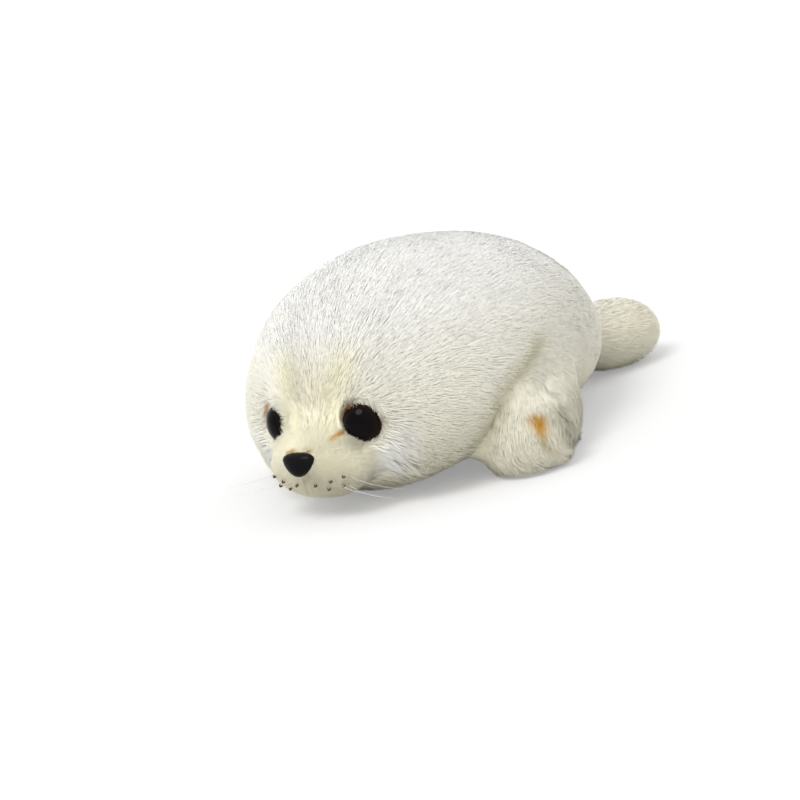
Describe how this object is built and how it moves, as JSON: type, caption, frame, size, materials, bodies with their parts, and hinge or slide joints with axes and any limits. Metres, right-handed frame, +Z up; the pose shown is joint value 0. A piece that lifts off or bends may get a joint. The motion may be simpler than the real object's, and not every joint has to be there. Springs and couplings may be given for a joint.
{
  "type": "plush seal",
  "caption": "Plush baby seal lying on its belly, with long cream pile, a short-pile muzzle, glossy dark eyes, a black nose and stubby flippers.",
  "frame": {"origin": "centre of the footprint, on the surface that the seal lies on", "axes": "+Y from the nose towards the hind flippers, so the seal looks along -Y; +X towards the seal's own left; +Z up"},
  "size_m": [0.2002, 0.3012, 0.1196],
  "materials": {
    "long_pile": "long cream-white pile",
    "short_pile": "short warm cream pile",
    "eye": "glossy near-black with a brown cast",
    "nose": "satin black",
    "washer": "natural white",
    "thread": "brown thread",
    "whisker": "clear filament"
  },
  "bodies": {
    "root": {"body": "long_pile", "muzzle": "short_pile", "nose": "nose", "nose_washer": "washer", "front_flipper_left": "long_pile", "hind_flipper_left": "long_pile", "eye_left": "eye", "eye_washer_left": "washer", "whisker_spot_left_1": "thread", "whisker_spot_left_2": "thread", "whisker_spot_left_3": "thread", "whisker_spot_left_4": "thread", "whisker_spot_left_5": "thread", "whisker_left_1": "whisker", "whisker_left_2": "whisker", "whisker_left_3": "whisker", "front_flipper_right": "long_pile", "hind_flipper_right": "long_pile", "eye_right": "eye", "eye_washer_right": "washer", "whisker_spot_right_1": "thread", "whisker_spot_right_2": "thread", "whisker_spot_right_3": "thread", "whisker_spot_right_4": "thread", "whisker_spot_right_5": "thread", "whisker_right_1": "whisker", "whisker_right_2": "whisker", "whisker_right_3": "whisker"}
  },
  "joints": []
}
